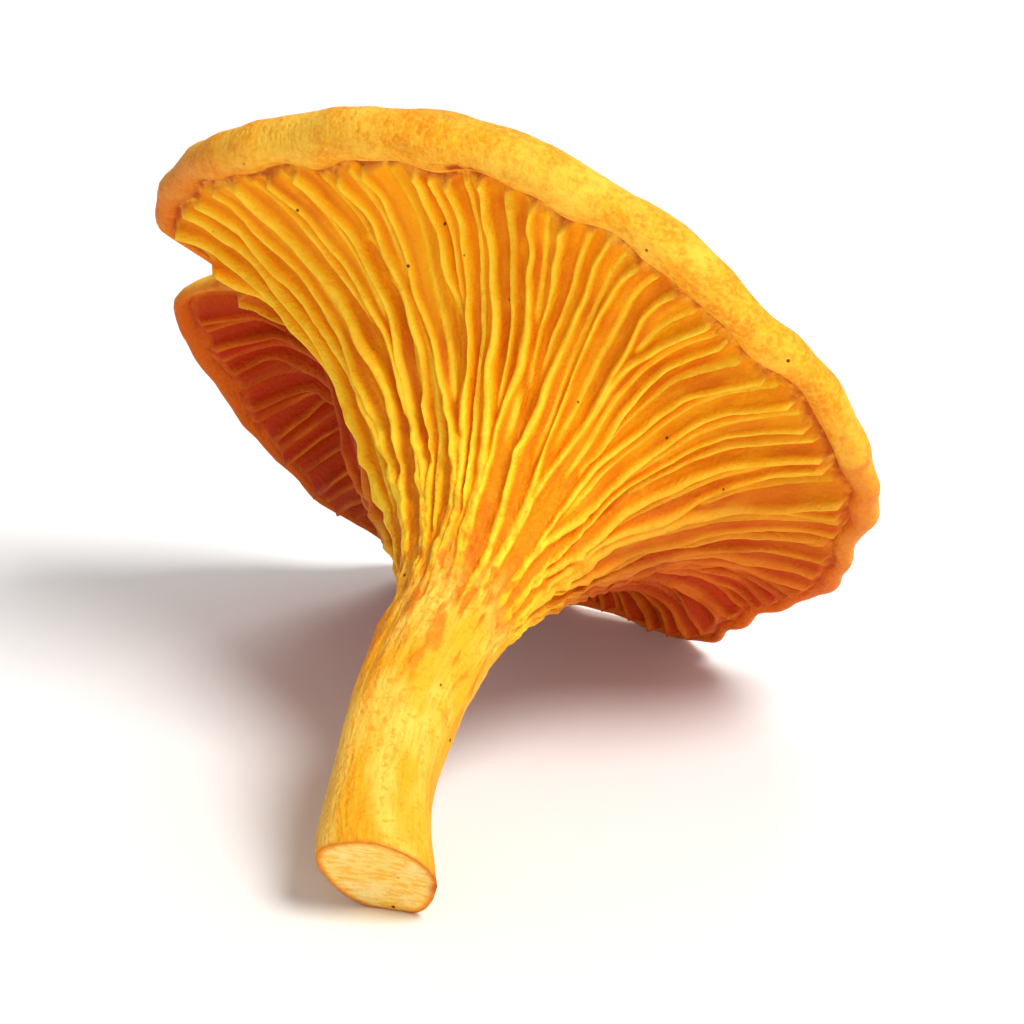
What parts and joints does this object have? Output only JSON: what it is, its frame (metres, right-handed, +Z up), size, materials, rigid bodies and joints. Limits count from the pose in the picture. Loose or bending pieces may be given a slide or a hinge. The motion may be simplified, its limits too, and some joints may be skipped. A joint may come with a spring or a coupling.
{
  "type": "chanterelle mushroom",
  "caption": "Single wild mushroom lying on its side: funnel-shaped cap with a wavy rolled edge, forking ridges below it and a curved stem cut across at the foot.",
  "frame": {"origin": "centre of the bounding box in X and Y, on the ground it lies on in Z", "axes": "+Z up from the ground, +Y from the cut foot of the stem towards the cap, -Y the front that shows the ridges, +X to the right seen from the front"},
  "size_m": [0.06, 0.0698, 0.0581],
  "materials": {
    "flesh": "soft satin golden-orange mushroom flesh, slightly moist"
  },
  "bodies": {
    "root": {"chanterelle": "flesh"}
  },
  "joints": []
}
